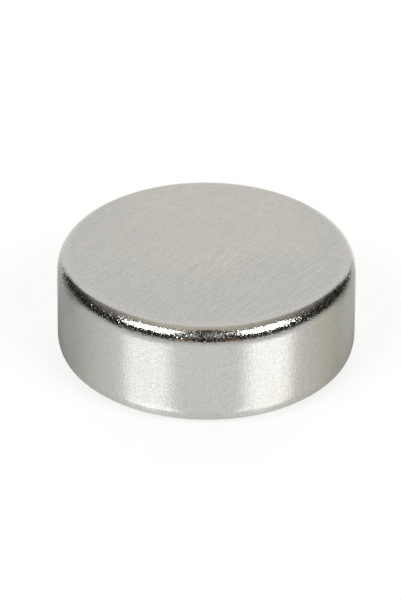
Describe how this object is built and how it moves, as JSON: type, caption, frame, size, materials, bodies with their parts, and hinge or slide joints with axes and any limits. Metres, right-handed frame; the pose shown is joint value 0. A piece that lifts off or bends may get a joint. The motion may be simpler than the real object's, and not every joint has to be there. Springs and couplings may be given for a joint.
{
  "type": "neodymium disc magnet",
  "caption": "Nickel-plated neodymium disc magnet, magnetised through its thickness, with flat satin pole faces and rounded, tumbled edges.",
  "frame": {"origin": "centre of the lower pole face, which the magnet rests on", "axes": "+Z along the axis of magnetisation, out of the upper pole face; X and Y are any two diameters"},
  "size_m": [0.008, 0.008, 0.003],
  "materials": {
    "nickel_plate": "bright nickel plating, satin over the ground faces and wall, polished on the tumbled edges"
  },
  "bodies": {
    "root": {"disc_magnet": "nickel_plate"}
  },
  "joints": []
}
